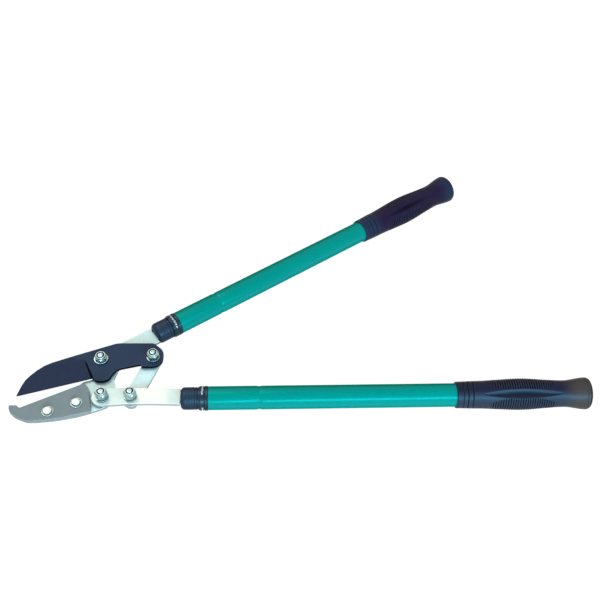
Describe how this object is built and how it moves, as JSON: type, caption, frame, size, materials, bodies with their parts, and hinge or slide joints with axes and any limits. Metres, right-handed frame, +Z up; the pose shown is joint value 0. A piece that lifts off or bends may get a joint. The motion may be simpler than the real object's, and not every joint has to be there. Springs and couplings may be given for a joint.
{
  "type": "telescopic anvil lopper",
  "caption": "Anvil lopper with compound linkage: a coated blade closes on a hooked anvil plate, on telescopic green tube handles with twist locks and flared black grips.",
  "frame": {"origin": "on the ground under the middle of the lopper's overall box, as it lies flat", "axes": "+X along the lower handle from the jaw to its grip, +Y towards the upper handle, +Z up, along the pivot bolts to their nuts"},
  "size_m": [0.6616, 0.3996, 0.0374],
  "materials": {
    "blade_steel": "dark satin non-stick coating, ground bevels",
    "anvil_steel": "grey matt coating",
    "plated_steel": "bright zinc plate over stamped steel",
    "zinc_hardware": "zinc plated, smooth",
    "dark_nylon": "moulded, satin",
    "black_plastic": "moulded, satin",
    "green_paint": "glossy powder coat",
    "black_grip": "soft moulded, matt with polished scoops"
  },
  "bodies": {
    "frame": {"carrier_plate": "plated_steel", "anvil": "anvil_steel", "anvil_rivet_front": "zinc_hardware", "anvil_rivet_rear": "zinc_hardware", "blade_pivot_bolt": "zinc_hardware", "blade_pivot_spacer": "zinc_hardware", "blade_pivot_washer": "zinc_hardware", "blade_pivot_nut": "zinc_hardware", "blade_pivot_insert": "dark_nylon", "lever_pivot_bolt": "zinc_hardware", "lever_pivot_spacer": "zinc_hardware", "lever_pivot_washer": "zinc_hardware", "lever_pivot_nut": "zinc_hardware", "lever_pivot_insert": "dark_nylon", "upper_front_sleeve": "black_plastic", "upper_inner_tube": "plated_steel", "upper_guide_plug": "dark_nylon"},
    "blade": {"blade": "blade_steel", "blade_link_bolt": "zinc_hardware", "blade_link_spacer": "zinc_hardware", "blade_link_washer": "zinc_hardware", "blade_link_nut": "zinc_hardware", "blade_link_insert": "dark_nylon"},
    "lower_lever": {"lever_bar": "plated_steel", "lever_link_bolt": "zinc_hardware", "lever_link_spacer": "zinc_hardware", "lever_link_washer": "zinc_hardware", "lever_link_nut": "zinc_hardware", "lever_link_insert": "dark_nylon", "lower_front_sleeve": "black_plastic", "lower_inner_tube": "plated_steel", "lower_guide_plug": "dark_nylon"},
    "link": {"link": "plated_steel"},
    "upper_slider": {"upper_outer_tube": "green_paint", "upper_collet": "dark_nylon", "upper_grip": "black_grip"},
    "lower_slider": {"lower_outer_tube": "green_paint", "lower_collet": "dark_nylon", "lower_grip": "black_grip"},
    "upper_ring": {"upper_lock_ring": "black_plastic"},
    "lower_ring": {"lower_lock_ring": "black_plastic"}
  },
  "joints": [
    {"name": "lever_hinge", "type": "hinge", "parent": "frame", "child": "lower_lever", "pos_m": [-0.22893, -0.16939, 0.01865], "axis": [0, 0, 1], "range_deg": [-36, 17.7]},
    {"name": "blade_hinge", "type": "hinge", "parent": "frame", "child": "blade", "pos_m": [-0.23533, -0.11543, 0.01865], "axis": [0, 0, 1], "range_deg": [-19.5, 9.6]},
    {"name": "link_hinge", "type": "hinge", "parent": "lower_lever", "child": "link", "pos_m": [-0.19693, -0.16939, 0.01865], "axis": [0, 0, 1], "range_deg": [-16.8, 34.1]},
    {"name": "upper_slide", "type": "slide", "parent": "frame", "child": "upper_slider", "axis": [0.831, 0.5563, 0], "range_m": [0, 0.25]},
    {"name": "lower_slide", "type": "slide", "parent": "lower_lever", "child": "lower_slider", "axis": [1, 0, 0], "range_m": [0, 0.25]},
    {"name": "upper_lock_twist", "type": "hinge", "parent": "upper_slider", "child": "upper_ring", "pos_m": [-0.14999, -0.0583, 0.01865], "axis": [0.831, 0.5563, 0], "range_deg": [0, 90]},
    {"name": "lower_lock_twist", "type": "hinge", "parent": "lower_slider", "child": "lower_ring", "pos_m": [-0.10963, -0.16939, 0.01865], "axis": [1, 0, 0], "range_deg": [0, 90]}
  ],
  "couplings": [
    {"joint": "blade_hinge", "follows": "lever_hinge", "ratio": 0.54},
    {"joint": "link_hinge", "follows": "lever_hinge", "ratio": -0.945}
  ]
}
